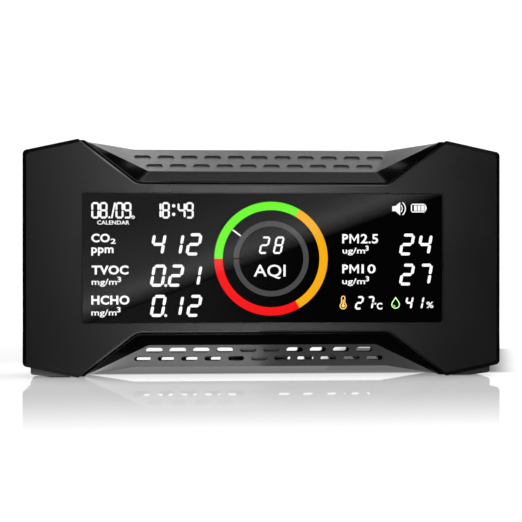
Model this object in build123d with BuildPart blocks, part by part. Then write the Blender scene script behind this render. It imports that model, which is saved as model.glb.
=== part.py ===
"""Desktop air quality monitor: a bezel with four angled ears, a slotted rear housing and the works inside."""
import os
from math import atan2, degrees

from build123d import *

# Frame: the front looks along -Y, +X is to the right, +Z is up, and the origin is on the table below the middle.

# Overall size
height = 104.0
depth = 36.0
mid_z = height / 2
front_y = -depth / 2
rear_y = depth / 2

# Front outline, measured from the middle of the front
ear_x = 105.0
ear_z = 46.8
peak_x = 81.0
peak_z = 52.0
waist_x = 55.6
waist_z = 32.35
waist_radius = 7.5
corner_radius = 2.0
peak_radius = 1.2

# Bezel
bezel_thickness = 3.0
rim_depth = 1.0
rim_width = 1.6
waist_rim = 0.6
window_width = 159.3
window_height = 57.3
window_radius = 0.8
ledge = 2.6
pocket_depth = 2.3
tongue_inset = 2.8
tongue_wall = 1.4
tongue_depth = 3.5

# Rear housing: its parting face, the crease under the slotted panel and the panel's rear edge
parting_gap = 0.4
wall = 2.2
rear_wall = 2.0
side_inset = 0.3
lip_z = 33.7
lip_wall = 0.55
lip_depth = 1.7
lip_chamfer = 0.38
crease_x = 50.3
crease_z = 38.15
crease_depth = 5.4
panel_x = 56.3
panel_z = 48.1
panel_depth = 14.0
shoulder_x = 78.4
back_chamfer = 2.5

# Slots in the two sloped panels
slot_length = 7.3
slot_width = 2.8
slot_pitch = 10.35
slot_blind = 0.8
front_row_z = 40.45
rear_row_z = 44.4
slot_shift = -1.2
bottom_blind_front = (4, 5)
bottom_blind_rear = (5,)
vent_z = 41.3
vent_xs = [14.0 + 11.2 * index for index in range(4)]
vent_length = 9.0
vent_width = 2.2
corner_vent_z = 45.7
corner_vent_xs = [17.5 + 11.2 * index for index in range(4)]
corner_vent_length = 8.0
corner_vent_width = 1.7
corner_vent_depth = 8.0

# Display stack, from the window inwards
pane_gap = 0.4
pane_thickness = 1.5
pane_recess = 0.3
film_gap = 0.1
film_thickness = 0.3
film_width = 158.3
film_height = 56.3
reflector_gap = 0.3
reflector_width = 156.0
reflector_height = 55.0
reflector_depth = 5.0
reflector_skin = 0.8
board_thickness = 1.6
display_board_width = 184.0
display_board_height = 55.0
display_hole_x = 87.0
display_hole_z = 20.0

# Main board and what it carries
main_board_y = 8.4
main_board_width = 150.0
main_board_height = 56.0
main_hole_x = 71.5
main_hole_z = 24.5
button_xs = (20.0, 32.0, 44.0, 56.0)
button_names = ("power_button", "menu_button", "up_button", "down_button")
button_z = 16.0
button_radius = 3.9
button_travel = 0.8
inlet_x = -52.0
inlet_z = -14.0

# Breathing slots in the back wall
breather_spots = ((-55.0, 14.0), (39.0, -14.0))
breather_count = 9
breather_pitch = 5.0
breather_length = 20.0
breather_width = 2.2

# Screws, their posts and their holes
housing_screw_x = 95.2
housing_screw_z = 37.0
screw_fit = 0.05
housing_post_radius = 3.5
housing_post_length = 12.7
housing_pilot_depth = 12.0
housing_shank = 1.3
tube_radius = 4.0
tube_bore = 3.1
tube_depth = 16.0
tube_clearance = 1.6
board_post_radius = 3.0
board_pilot_depth = 6.0
board_shank = 1.0
board_hole = 1.2

os.makedirs("parts", exist_ok=True)
written = []


def facing(y):
    """Plane at depth y that looks to the front: its axes are +X and +Z, centred on the object's middle."""
    return Plane(origin=(0, y, mid_z), x_dir=(1, 0, 0), z_dir=(0, -1, 0))


def keep(name, part):
    """Label one finished piece and write it."""
    part.label = name
    export_step(part, f"parts/{name}.step")
    written.append(name)


def four_corners(x, z):
    return [(x, z), (-x, z), (-x, -z), (x, -z)]


def quarter_outline(corner, peak, shoulder, waist):
    """Full closed outline from the points of its upper right quarter, clockwise from the right side."""
    quarter = [corner, peak, shoulder, waist]
    quarter = [point for point in quarter if point is not None]
    top_left = [(-x, z) for x, z in reversed(quarter)]
    bottom_left = [(-x, -z) for x, z in quarter]
    bottom_right = [(x, -z) for x, z in reversed(quarter)]
    return quarter + top_left + bottom_left + bottom_right


def near(vertices, points, reach=0.6):
    """The vertices of the sketch being drawn that lie on any of the given outline points."""
    found = []
    for vertex in vertices:
        for x, z in points:
            if abs(abs(vertex.X) - x) < reach and abs(abs(vertex.Y) - z) < reach:
                found.append(vertex)
    return found


def bezel_outline(ear_inset, waist_inset):
    """The bezel's outline, drawn in the sketch that is open, pulled in by the two insets."""
    corner = (ear_x - ear_inset, ear_z - ear_inset * 0.8)
    peak = (peak_x - ear_inset * 0.3, peak_z - ear_inset)
    waist = (waist_x + waist_inset * 0.3, waist_z - waist_inset)
    Polygon(*quarter_outline(corner, peak, None, waist), align=None)


def round_bezel(sketch, ear_inset, waist_inset):
    corner = (ear_x - ear_inset, ear_z - ear_inset * 0.8)
    peak = (peak_x - ear_inset * 0.3, peak_z - ear_inset)
    waist = (waist_x + waist_inset * 0.3, waist_z - waist_inset)
    fillet(near(sketch.vertices(), [waist]), radius=waist_radius)
    fillet(near(sketch.vertices(), [corner]), radius=corner_radius)
    fillet(near(sketch.vertices(), [peak]), radius=peak_radius)


# ---------------------------------------------------------------- front bezel
plate_back = front_y + bezel_thickness
reflector_y = plate_back + reflector_gap
display_board_y = reflector_y + reflector_depth

with BuildPart() as front_bezel:
    with BuildSketch(facing(front_y)) as face:
        bezel_outline(rim_width, waist_rim)
        round_bezel(face, rim_width, waist_rim)
    with BuildSketch(facing(front_y + rim_depth)) as shoulder:
        bezel_outline(0, 0)
        round_bezel(shoulder, 0, 0)
    loft(ruled=True)
    with BuildSketch(facing(front_y + rim_depth)) as full:
        bezel_outline(0, 0)
        round_bezel(full, 0, 0)
    extrude(amount=-(bezel_thickness - rim_depth))
    # Tongue that locates the bezel inside the rear housing
    with BuildSketch(facing(plate_back)) as tongue:
        with BuildSketch(mode=Mode.PRIVATE) as base:
            bezel_outline(0, 0)
        offset(base.sketch, amount=-tongue_inset, kind=Kind.INTERSECTION)
        offset(base.sketch, amount=-(tongue_inset + tongue_wall), kind=Kind.INTERSECTION, mode=Mode.SUBTRACT)
    extrude(amount=-tongue_depth)
    # Posts for the housing screws and for the display board
    with BuildSketch(facing(plate_back)) as posts:
        with Locations(*four_corners(housing_screw_x, housing_screw_z)):
            Circle(housing_post_radius)
    extrude(amount=-housing_post_length)
    with BuildSketch(facing(plate_back)) as board_posts:
        with Locations(*four_corners(display_hole_x, display_hole_z)):
            Circle(board_post_radius)
    extrude(amount=-(display_board_y - plate_back))
    # Window: a pocket for the pane and a smaller opening behind it
    with BuildSketch(facing(front_y)) as pocket:
        RectangleRounded(window_width, window_height, window_radius)
    extrude(amount=-pocket_depth, mode=Mode.SUBTRACT)
    with BuildSketch(facing(front_y)) as opening:
        RectangleRounded(window_width - 2 * ledge, window_height - 2 * ledge, window_radius)
    extrude(amount=-bezel_thickness, mode=Mode.SUBTRACT)
    # Pilot holes, blind from the back
    with BuildSketch(facing(plate_back + 1.0)) as pilots:
        with Locations(*four_corners(housing_screw_x, housing_screw_z)):
            Circle(housing_shank + screw_fit)
    extrude(amount=-housing_pilot_depth, mode=Mode.SUBTRACT)
    with BuildSketch(facing(plate_back + 0.5)) as board_pilots:
        with Locations(*four_corners(display_hole_x, display_hole_z)):
            Circle(board_shank + screw_fit)
    extrude(amount=-board_pilot_depth, mode=Mode.SUBTRACT)
keep("front_bezel", front_bezel.part)

# ---------------------------------------------------------------- rear housing
housing_front = plate_back + parting_gap
ear_slope = (peak_z - ear_z) / (ear_x - peak_x)
side_corner = (ear_x - side_inset, ear_z - side_inset)
side_peak = (peak_x, side_corner[1] + (side_corner[0] - peak_x) * ear_slope)
shoulder_point = (shoulder_x, side_peak[1])
lip_corner = (55.2, lip_z)
lip_outline = quarter_outline(side_corner, side_peak, shoulder_point, lip_corner)
mouth_outline = quarter_outline(
    (side_corner[0] - lip_chamfer, side_corner[1] - lip_chamfer * 0.8),
    (side_peak[0] - lip_chamfer * 0.1, side_peak[1] - lip_chamfer),
    (shoulder_x + lip_chamfer * 0.1, side_peak[1] - lip_chamfer),
    (lip_corner[0] + lip_chamfer * 0.3, lip_corner[1] - lip_chamfer),
)
crease_outline = quarter_outline(side_corner, side_peak, shoulder_point, (crease_x, crease_z))
panel_outline = quarter_outline(side_corner, side_peak, shoulder_point, (panel_x, panel_z))

back_outline = quarter_outline(
    (side_corner[0] - back_chamfer, side_corner[1] - back_chamfer * 0.8),
    (side_peak[0] - back_chamfer * 0.1, side_peak[1] - back_chamfer),
    (shoulder_x + back_chamfer * 0.1, side_peak[1] - back_chamfer),
    (panel_x + back_chamfer * 0.1, panel_z - back_chamfer),
)

panel_rise = panel_z - crease_z
panel_run = panel_depth - crease_depth
panel_tilt = degrees(atan2(panel_rise, panel_run))


def panel_plane(row_z, side):
    """Plane on the sloped panel at one slot row: side is 1 for the top panel and -1 for the bottom one."""
    along = (row_z - crease_z) / panel_rise
    y = front_y + crease_depth + along * panel_run
    return Plane(origin=(0, y, mid_z + side * row_z), x_dir=(1, 0, 0), z_dir=(0, -panel_rise, side * panel_run))


def slot_row(row_z, side, count, picked, cut_depth, cut_way=None):
    """Cut the picked slots of one row into the part being built, square to the panel or along cut_way."""
    first = -slot_pitch * (count - 1) / 2
    spots = [(first + slot_pitch * index + slot_shift, 0) for index in range(count) if index in picked]
    with BuildSketch(panel_plane(row_z, side)) as row:
        with Locations(*spots):
            SlotOverall(slot_length, slot_width)
    extrude(row.sketch, amount=cut_depth, dir=cut_way, both=True, mode=Mode.SUBTRACT)


with BuildPart() as rear_housing:
    # Outer shape: chamfered mouth, steep glossy band, sloped panel, straight body and a chamfered back
    for y_a, points_a, radius_a, y_b, points_b, radius_b in (
        (housing_front, mouth_outline, 6.0, housing_front + lip_chamfer, lip_outline, 6.0),
        (housing_front + lip_chamfer, lip_outline, 6.0, front_y + crease_depth, crease_outline, 4.5),
        (front_y + crease_depth, crease_outline, 4.5, front_y + panel_depth, panel_outline, 6.0),
    ):
        with BuildSketch(facing(y_a)) as near_end:
            Polygon(*points_a, align=None)
            fillet(near(near_end.vertices(), [points_a[3]]), radius=radius_a)
            fillet(near(near_end.vertices(), [points_a[0]]), radius=corner_radius)
        with BuildSketch(facing(y_b)) as far_end:
            Polygon(*points_b, align=None)
            fillet(near(far_end.vertices(), [points_b[3]]), radius=radius_b)
            fillet(near(far_end.vertices(), [points_b[0]]), radius=corner_radius)
        loft(ruled=True)
    with BuildSketch(facing(front_y + panel_depth)) as body:
        Polygon(*panel_outline, align=None)
        fillet(near(body.vertices(), [panel_outline[3]]), radius=6.0)
        fillet(near(body.vertices(), [panel_outline[0]]), radius=corner_radius)
    extrude(amount=-(depth - panel_depth - back_chamfer))
    with BuildSketch(facing(rear_y - back_chamfer)) as back_start:
        Polygon(*panel_outline, align=None)
        fillet(near(back_start.vertices(), [panel_outline[3]]), radius=6.0)
        fillet(near(back_start.vertices(), [panel_outline[0]]), radius=corner_radius)
    with BuildSketch(facing(rear_y)) as back_end:
        Polygon(*back_outline, align=None)
        fillet(near(back_end.vertices(), [back_outline[3]]), radius=6.0)
        fillet(near(back_end.vertices(), [back_outline[0]]), radius=corner_radius)
    loft(ruled=True)
    # Cavity, open at the front
    for y_a, points_a, y_b, points_b in (
        (housing_front, lip_outline, front_y + crease_depth, crease_outline),
        (front_y + crease_depth, crease_outline, front_y + panel_depth, panel_outline),
    ):
        with BuildSketch(facing(y_a)):
            with BuildSketch(mode=Mode.PRIVATE) as outer_a:
                Polygon(*points_a, align=None)
            offset(outer_a.sketch, amount=-wall, kind=Kind.INTERSECTION)
        with BuildSketch(facing(y_b)):
            with BuildSketch(mode=Mode.PRIVATE) as outer_b:
                Polygon(*points_b, align=None)
            offset(outer_b.sketch, amount=-wall, kind=Kind.INTERSECTION)
        loft(ruled=True, mode=Mode.SUBTRACT)
    with BuildSketch(facing(front_y + panel_depth)):
        with BuildSketch(mode=Mode.PRIVATE) as outer_c:
            Polygon(*panel_outline, align=None)
        offset(outer_c.sketch, amount=-wall, kind=Kind.INTERSECTION)
    extrude(amount=-(depth - panel_depth - rear_wall - back_chamfer), mode=Mode.SUBTRACT)
    with BuildSketch(facing(rear_y - rear_wall - back_chamfer)):
        with BuildSketch(mode=Mode.PRIVATE) as outer_d:
            Polygon(*panel_outline, align=None)
        offset(outer_d.sketch, amount=-(wall + back_chamfer), kind=Kind.INTERSECTION)
    extrude(amount=-back_chamfer, mode=Mode.SUBTRACT)
    # The mouth is thinned to a fine lip, which leaves a dark line round the bezel
    with BuildSketch(facing(housing_front)):
        with BuildSketch(mode=Mode.PRIVATE) as mouth:
            Polygon(*lip_outline, align=None)
        offset(mouth.sketch, amount=-lip_wall, kind=Kind.INTERSECTION)
    extrude(amount=-lip_depth, mode=Mode.SUBTRACT)
    # Tubes for the housing screws and posts for the main board
    boss_front = plate_back + housing_post_length + 0.1
    with BuildSketch(facing(boss_front)):
        with Locations(*four_corners(housing_screw_x, housing_screw_z)):
            Circle(tube_radius)
    extrude(amount=-(rear_y - rear_wall - boss_front))
    with BuildSketch(facing(main_board_y + board_thickness)):
        with Locations(*four_corners(main_hole_x, main_hole_z)):
            Circle(board_post_radius)
    extrude(amount=-(rear_y - rear_wall - main_board_y - board_thickness))
    with BuildSketch(facing(rear_y)):
        with Locations(*four_corners(housing_screw_x, housing_screw_z)):
            Circle(tube_bore)
    extrude(amount=tube_depth, mode=Mode.SUBTRACT)
    with BuildSketch(facing(rear_y)):
        with Locations(*four_corners(housing_screw_x, housing_screw_z)):
            Circle(tube_clearance)
    extrude(amount=rear_y - boss_front + 1, mode=Mode.SUBTRACT)
    with BuildSketch(facing(rear_y - rear_wall)):
        with Locations(*four_corners(main_hole_x, main_hole_z)):
            Circle(board_shank + screw_fit)
    extrude(amount=board_pilot_depth, mode=Mode.SUBTRACT)
    # Shallow slots on top, open ones below except the middle three
    slot_row(front_row_z, 1, 10, range(10), slot_blind)
    slot_row(rear_row_z, 1, 11, range(11), slot_blind)
    slot_row(front_row_z, -1, 10, [i for i in range(10) if i not in bottom_blind_front], 2 * wall, (0, 1, 0))
    slot_row(front_row_z, -1, 10, bottom_blind_front, slot_blind)
    slot_row(rear_row_z, -1, 11, [i for i in range(11) if i not in bottom_blind_rear], 2 * wall, (0, 1, 0))
    slot_row(rear_row_z, -1, 11, bottom_blind_rear, slot_blind)
    # Low vents in the back wall and in its bottom corner, in line with the open slots
    with BuildSketch(facing(rear_y + 1)):
        with Locations(*[(side * x, -vent_z) for side in (-1, 1) for x in vent_xs]):
            SlotOverall(vent_length, vent_width)
    extrude(amount=rear_wall + 2, mode=Mode.SUBTRACT)
    with BuildSketch(facing(rear_y + 1)):
        with Locations(*[(side * x, -corner_vent_z) for side in (-1, 1) for x in corner_vent_xs]):
            SlotOverall(corner_vent_length, corner_vent_width)
    extrude(amount=corner_vent_depth + 1, mode=Mode.SUBTRACT)
    # Back: breathing slots behind the particle sensor, button holes and the power inlet
    with BuildSketch(facing(rear_y + 1)):
        with GridLocations(breather_pitch, 0, breather_count, 1):
            with Locations(*breather_spots):
                SlotOverall(breather_length, breather_width, rotation=90)
    extrude(amount=rear_wall + 2, mode=Mode.SUBTRACT)
    with BuildSketch(facing(rear_y + 1)):
        with Locations(*[(x, button_z) for x in button_xs]):
            Circle(button_radius + 0.3)
    extrude(amount=rear_wall + 2, mode=Mode.SUBTRACT)
    with BuildSketch(facing(rear_y + 1)):
        with Locations((inlet_x, inlet_z)):
            SlotOverall(10.0, 4.2)
    extrude(amount=rear_wall + 2, mode=Mode.SUBTRACT)
keep("rear_housing", rear_housing.part)

# ---------------------------------------------------------------- feet
foot_front = front_y + 6.0
foot_length = 26.0
foot_outer = 101.8
foot_inner = 84.5


def under_ear(x):
    """Height of the housing's sloped underside at x, from the middle."""
    return -(side_corner[1] + (side_corner[0] - x) * ear_slope)


foot_points = [
    (foot_outer, under_ear(foot_outer)),
    (foot_outer, -peak_z + 1.2),
    (93.0, -peak_z),
    (foot_inner, -peak_z),
    (foot_inner, under_ear(foot_inner)),
]
for name, side in (("foot_left", -1), ("foot_right", 1)):
    with BuildPart() as foot:
        with BuildSketch(facing(foot_front)) as profile:
            Polygon(*[(side * x, z) for x, z in foot_points], align=None)
            fillet(near(profile.vertices(), [(foot_outer, peak_z - 1.2)], 0.1), radius=1.2)
        extrude(amount=-foot_length)
        fillet(foot.edges().filter_by(Axis.Z).group_by(Axis.Y)[0], radius=1.0)
    keep(name, foot.part)

# ---------------------------------------------------------------- display
with BuildPart() as display_window:
    with BuildSketch(facing(front_y + pane_recess)):
        RectangleRounded(window_width - 2 * pane_gap, window_height - 2 * pane_gap, window_radius)
    extrude(amount=-pane_thickness)
    chamfer(display_window.faces().sort_by(Axis.Y)[0].edges(), length=0.15)
keep("display_window", display_window.part)

with BuildPart() as display_film:
    with BuildSketch(facing(front_y + pane_recess + pane_thickness + film_gap)):
        RectangleRounded(film_width, film_height, window_radius)
    extrude(amount=-film_thickness)
keep("display_film", display_film.part)

# Light cells behind the readouts: centre x, centre z, width, height
cells = [
    (-52.0, 21.0, 68.0, 11.0),
    (-67.0, 6.0, 20.0, 13.0),
    (-38.5, 6.0, 31.0, 13.0),
    (-67.0, -8.0, 20.0, 13.0),
    (-38.5, -8.0, 31.0, 13.0),
    (-67.0, -21.5, 20.0, 12.0),
    (-38.5, -21.5, 31.0, 12.0),
    (44.0, 6.0, 22.0, 13.0),
    (67.0, 6.0, 20.0, 13.0),
    (44.0, -8.0, 22.0, 13.0),
    (67.0, -8.0, 20.0, 13.0),
    (66.0, 21.0, 20.0, 9.0),
    (44.0, -21.5, 22.0, 10.0),
    (66.5, -21.5, 21.0, 10.0),
]
ring_x = 3.3
ring_cells = ((25.5, 20.0), (17.5, 13.0))
with BuildPart() as display_reflector:
    with BuildSketch(facing(reflector_y)):
        RectangleRounded(reflector_width, reflector_height, 1.0)
    extrude(amount=-reflector_depth)
    with BuildSketch(facing(reflector_y + reflector_skin)):
        for x, z, width, tall in cells:
            with Locations((x, z)):
                Rectangle(width, tall)
        with Locations((ring_x, 0)):
            for outer, inner in ring_cells:
                Circle(outer)
                Circle(inner, mode=Mode.SUBTRACT)
            Rectangle(18.0, 16.0)
    extrude(amount=-(reflector_depth - reflector_skin), mode=Mode.SUBTRACT)
keep("display_reflector", display_reflector.part)

with BuildPart() as display_board:
    with BuildSketch(facing(display_board_y)):
        RectangleRounded(display_board_width, display_board_height, 1.5)
        with Locations(*four_corners(display_hole_x, display_hole_z)):
            Circle(board_hole, mode=Mode.SUBTRACT)
    extrude(amount=-board_thickness)
keep("display_board", display_board.part)

led_height = 0.9
led_size = (2.8, 1.6)
ring_led_radius = 22.7
ring_led_count = 12
with BuildPart() as display_leds:
    with BuildSketch(facing(display_board_y)):
        for x, z, width, tall in cells:
            with Locations((x - width / 4, z), (x + width / 4, z)):
                Rectangle(*led_size)
        with Locations((ring_x, 0)):
            with PolarLocations(ring_led_radius, ring_led_count):
                Rectangle(led_size[1], led_size[0])
    extrude(amount=led_height)
keep("display_leds", display_leds.part)

# ---------------------------------------------------------------- main board
with BuildPart() as main_board:
    with BuildSketch(facing(main_board_y)):
        RectangleRounded(main_board_width, main_board_height, 1.5)
        with Locations(*four_corners(main_hole_x, main_hole_z)):
            Circle(board_hole, mode=Mode.SUBTRACT)
    extrude(amount=-board_thickness)
keep("main_board", main_board.part)

board_back = main_board_y + board_thickness
display_back = display_board_y + board_thickness

# Chips on the back of the main board: centre x, centre z, width, height
chips = ((-10.0, 5.0, 10.0, 10.0), (-30.0, 14.0, 6.0, 5.0), (-30.0, -16.0, 5.0, 6.0))
chip_height = 1.4
with BuildPart() as board_chips:
    with BuildSketch(facing(board_back)):
        for x, z, width, tall in chips:
            with Locations((x, z)):
                Rectangle(width, tall)
    extrude(amount=-chip_height)
keep("board_chips", board_chips.part)

# Stacking header from the display board to the main board
header_x = 5.0
header_z = 10.0
header_width = 5.0
header_length = 25.4
groove_y = display_back + 8.0
groove_depth = 0.4
with BuildPart() as board_header:
    with BuildSketch(facing(display_back)):
        with Locations((header_x, header_z)):
            Rectangle(header_width, header_length)
    extrude(amount=-(main_board_y - display_back))
    # The groove where its two halves meet
    with BuildSketch(facing(groove_y)):
        with Locations((header_x, header_z)):
            Rectangle(header_width + 1, header_length + 1)
            Rectangle(header_width - 2 * groove_depth, header_length - 2 * groove_depth, mode=Mode.SUBTRACT)
    extrude(amount=-0.6, mode=Mode.SUBTRACT)
keep("board_header", board_header.part)

# ---------------------------------------------------------------- buttons and their switches
switch_height = 3.5
well_radius = 1.8
well_depth = 1.8
with BuildPart() as tactile_switches:
    with BuildSketch(facing(board_back)):
        with Locations(*[(x, button_z) for x in button_xs]):
            RectangleRounded(6.0, 6.0, 0.4)
    extrude(amount=-switch_height)
    with BuildSketch(facing(board_back + switch_height)):
        with Locations(*[(x, button_z) for x in button_xs]):
            Circle(well_radius)
    extrude(amount=well_depth, mode=Mode.SUBTRACT)
keep("tactile_switches", tactile_switches.part)

button_flange_y = rear_y - rear_wall - 0.3
for name, x in zip(button_names, button_xs):
    with BuildPart() as button:
        with BuildSketch(facing(button_flange_y)):
            with Locations((x, button_z)):
                Circle(button_radius)
        extrude(amount=-(rear_y - 0.1 - button_flange_y))
        chamfer(button.faces().sort_by(Axis.Y)[-1].edges(), length=0.4)
        with BuildSketch(facing(button_flange_y)):
            with Locations((x, button_z)):
                Circle(button_radius + 1.0)
        extrude(amount=0.8)
        with BuildSketch(facing(button_flange_y - 0.8)):
            with Locations((x, button_z)):
                Circle(1.5)
        extrude(amount=button_flange_y - 0.8 - (board_back + switch_height) + 0.6)
    keep(name, button.part)

# ---------------------------------------------------------------- power inlet
with BuildPart() as usb_socket:
    with BuildSketch(facing(board_back)):
        with Locations((inlet_x, inlet_z)):
            SlotOverall(9.2, 3.4)
    extrude(amount=-(rear_y - 0.6 - board_back))
    with BuildSketch(facing(rear_y - 0.6)):
        with Locations((inlet_x, inlet_z)):
            SlotOverall(8.4, 2.6)
            Rectangle(6.6, 0.7, mode=Mode.SUBTRACT)
    extrude(amount=5.0, mode=Mode.SUBTRACT)
keep("usb_socket", usb_socket.part)

# ---------------------------------------------------------------- battery
cell_left = -67.0
cell_right = -12.0
cell_bottom = -2.0
cell_top = 26.0
cell_thickness = 7.6
pad_thickness = 0.8
cell_x = (cell_left + cell_right) / 2
cell_z = (cell_bottom + cell_top) / 2
with BuildPart() as battery_pad:
    with BuildSketch(facing(main_board_y - pad_thickness)):
        with Locations((cell_x, cell_z)):
            Rectangle(46.0, 22.0)
    extrude(amount=-pad_thickness)
keep("battery_pad", battery_pad.part)

with BuildPart() as battery_cell:
    with BuildSketch(facing(main_board_y - pad_thickness)):
        with Locations((cell_x, cell_z)):
            Rectangle(cell_right - cell_left, cell_top - cell_bottom)
    extrude(amount=cell_thickness)
    fillet(battery_cell.edges().filter_by(Axis.Z), radius=2.0)
keep("battery_cell", battery_cell.part)

# ---------------------------------------------------------------- particle sensor
pm_left = 20.0
pm_right = 58.0
pm_bottom = -9.0
pm_top = 26.0
pm_thickness = 12.0
pm_lid = 1.2
pm_wall = 1.2
pm_x = (pm_left + pm_right) / 2
pm_z = (pm_bottom + pm_top) / 2
pm_front = main_board_y - pm_thickness
fan_x = 47.0
fan_z = 15.0
fan_well = 9.6
fan_radius = 8.9
axle_radius = 0.75
axle_fit = 0.03
floor_y = main_board_y - pm_wall
lid_back = pm_front + pm_lid

with BuildPart() as pm_case:
    with BuildSketch(facing(lid_back)):
        with Locations((pm_x, pm_z)):
            RectangleRounded(pm_right - pm_left, pm_top - pm_bottom, 1.5)
    extrude(amount=-(main_board_y - lid_back))
    with BuildSketch(facing(lid_back)):
        with Locations((pm_x, pm_z)):
            Rectangle(pm_right - pm_left - 2 * pm_wall, pm_top - pm_bottom - 2 * pm_wall)
        with Locations((fan_x, fan_z)):
            Circle(fan_well + 1.0, mode=Mode.SUBTRACT)
            Circle(fan_well)
        with Locations((fan_x - 8.0, fan_z - 8.0)):
            Rectangle(8.0, 8.0)
    extrude(amount=-(floor_y - lid_back), mode=Mode.SUBTRACT)
    # Outlet in the bottom wall
    with BuildSketch(Plane.XY.offset(mid_z + pm_bottom - 1)):
        with Locations((pm_left + 9.0, (lid_back + floor_y) / 2)):
            Rectangle(10.0, 5.0)
    extrude(amount=pm_wall + 2, mode=Mode.SUBTRACT)
keep("pm_case", pm_case.part)

with BuildPart() as pm_lid_plate:
    with BuildSketch(facing(pm_front)):
        with Locations((pm_x, pm_z)):
            RectangleRounded(pm_right - pm_left, pm_top - pm_bottom, 1.5)
        with Locations((fan_x, fan_z)):
            with PolarLocations(5.2, 6):
                Circle(1.8, mode=Mode.SUBTRACT)
    extrude(amount=-pm_lid)
keep("pm_lid", pm_lid_plate.part)

with BuildPart() as pm_axle:
    with BuildSketch(facing(floor_y)):
        with Locations((fan_x, fan_z)):
            Circle(3.2)
    extrude(amount=1.2)
    with BuildSketch(facing(floor_y - 1.2)):
        with Locations((fan_x, fan_z)):
            Circle(axle_radius)
    extrude(amount=6.5)
keep("pm_axle", pm_axle.part)

blade_count = 9
with BuildPart() as pm_impeller:
    with BuildSketch(facing(floor_y - 1.5)):
        with Locations((fan_x, fan_z)):
            Circle(4.0)
            with PolarLocations(6.2, blade_count, start_angle=8):
                Rectangle(5.4, 0.8, rotation=28)
    extrude(amount=5.5)
    with BuildSketch(facing(floor_y - 1.0)):
        with Locations((fan_x, fan_z)):
            Circle(axle_radius + axle_fit)
    extrude(amount=6.4, mode=Mode.SUBTRACT)
keep("pm_impeller", pm_impeller.part)

with BuildPart() as pm_laser:
    with BuildSketch(Plane.YZ.offset(pm_left + pm_wall + 0.3)):
        with Locations((floor_y - 2.0, mid_z + pm_bottom + 6.0)):
            Circle(1.9)
    extrude(amount=8.0)
keep("pm_laser", pm_laser.part)

# ---------------------------------------------------------------- gas and climate sensors
co2_spot = (-49.5, -16.0)
co2_base = 1.2
with BuildPart() as co2_sensor:
    with BuildSketch(facing(main_board_y)):
        with Locations(co2_spot):
            Rectangle(33.0, 20.0)
    extrude(amount=co2_base)
    with BuildSketch(facing(main_board_y - co2_base)):
        with Locations(co2_spot):
            RectangleRounded(30.0, 16.0, 1.5)
    extrude(amount=7.0)
    chamfer(co2_sensor.faces().sort_by(Axis.Y)[0].edges(), length=0.8)
keep("co2_sensor", co2_sensor.part)

hcho_spot = (-14.0, -16.0)
hcho_height = 8.0
with BuildPart() as hcho_sensor:
    with BuildSketch(facing(main_board_y)):
        with Locations(hcho_spot):
            Circle(9.0)
    extrude(amount=hcho_height)
    fillet(hcho_sensor.faces().sort_by(Axis.Y)[0].edges(), radius=0.8)
    # Recess that holds the membrane
    with BuildSketch(facing(main_board_y - hcho_height)):
        with Locations(hcho_spot):
            Circle(5.5)
    extrude(amount=-0.8, mode=Mode.SUBTRACT)
keep("hcho_sensor", hcho_sensor.part)

tvoc_spot = (8.0, -17.0)
tvoc_height = 2.2
with BuildPart() as tvoc_sensor:
    with BuildSketch(facing(main_board_y)):
        with Locations(tvoc_spot):
            RectangleRounded(7.0, 7.0, 0.5)
    extrude(amount=tvoc_height)
    # Gas port
    with BuildSketch(facing(main_board_y - tvoc_height)):
        with Locations(tvoc_spot):
            Circle(2.2)
    extrude(amount=-0.7, mode=Mode.SUBTRACT)
keep("tvoc_sensor", tvoc_sensor.part)

climate_spot = (28.0, -19.5)
climate_height = 5.0
with BuildPart() as climate_sensor:
    with BuildSketch(facing(main_board_y)):
        with Locations(climate_spot):
            RectangleRounded(12.0, 13.0, 0.8)
    extrude(amount=climate_height)
    # Grille of square openings
    with BuildSketch(facing(main_board_y - climate_height)):
        with Locations(climate_spot):
            with GridLocations(2.6, 2.6, 4, 4):
                Rectangle(1.5, 1.5)
    extrude(amount=-1.0, mode=Mode.SUBTRACT)
keep("climate_sensor", climate_sensor.part)

buzzer_spot = (66.0, -10.0)
buzzer_height = 7.0
with BuildPart() as buzzer:
    with BuildSketch(facing(main_board_y)):
        with Locations(buzzer_spot):
            Circle(6.0)
    extrude(amount=buzzer_height)
    # Sound hole
    with BuildSketch(facing(main_board_y - buzzer_height)):
        with Locations(buzzer_spot):
            Circle(1.2)
    extrude(amount=-1.5, mode=Mode.SUBTRACT)
keep("buzzer", buzzer.part)

# ---------------------------------------------------------------- plugs and leads
lead_radius = 0.6
lead_bend = 4.5
cell_plug = (-5.0, 21.0)
pm_plug = (13.5, -5.0)
for name, spot in (("battery_plug", cell_plug), ("pm_plug", pm_plug)):
    with BuildPart() as plug:
        with BuildSketch(facing(main_board_y)):
            with Locations(spot):
                Rectangle(5.6, 6.0)
        extrude(amount=5.6)
        chamfer(plug.faces().sort_by(Axis.Y)[0].edges(), length=0.3)
    keep(name, plug.part)


def bent_lead(start, corner, end):
    """A lead of one bend, swept along two straight runs joined by an arc."""
    with BuildPart() as lead:
        with BuildLine() as route:
            FilletPolyline(start, corner, end, radius=lead_bend)
        with BuildSketch(Plane(origin=start, z_dir=route.line % 0)):
            Circle(lead_radius)
        sweep()
    return lead.part


cell_lead_y = main_board_y - pad_thickness - cell_thickness / 2
battery_lead = bent_lead(
    (cell_right, cell_lead_y, mid_z + 6.0),
    (cell_plug[0], cell_lead_y, mid_z + 6.0),
    (cell_plug[0], cell_lead_y, mid_z + cell_plug[1] - 3.0),
)
keep("battery_lead", battery_lead)
pm_lead_y = main_board_y - 3.5
pm_lead = bent_lead(
    (pm_left, pm_lead_y, mid_z + 14.0),
    (pm_plug[0], pm_lead_y, mid_z + 14.0),
    (pm_plug[0], pm_lead_y, mid_z + pm_plug[1] + 3.0),
)
keep("pm_lead", pm_lead)

# ---------------------------------------------------------------- screws


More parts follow.
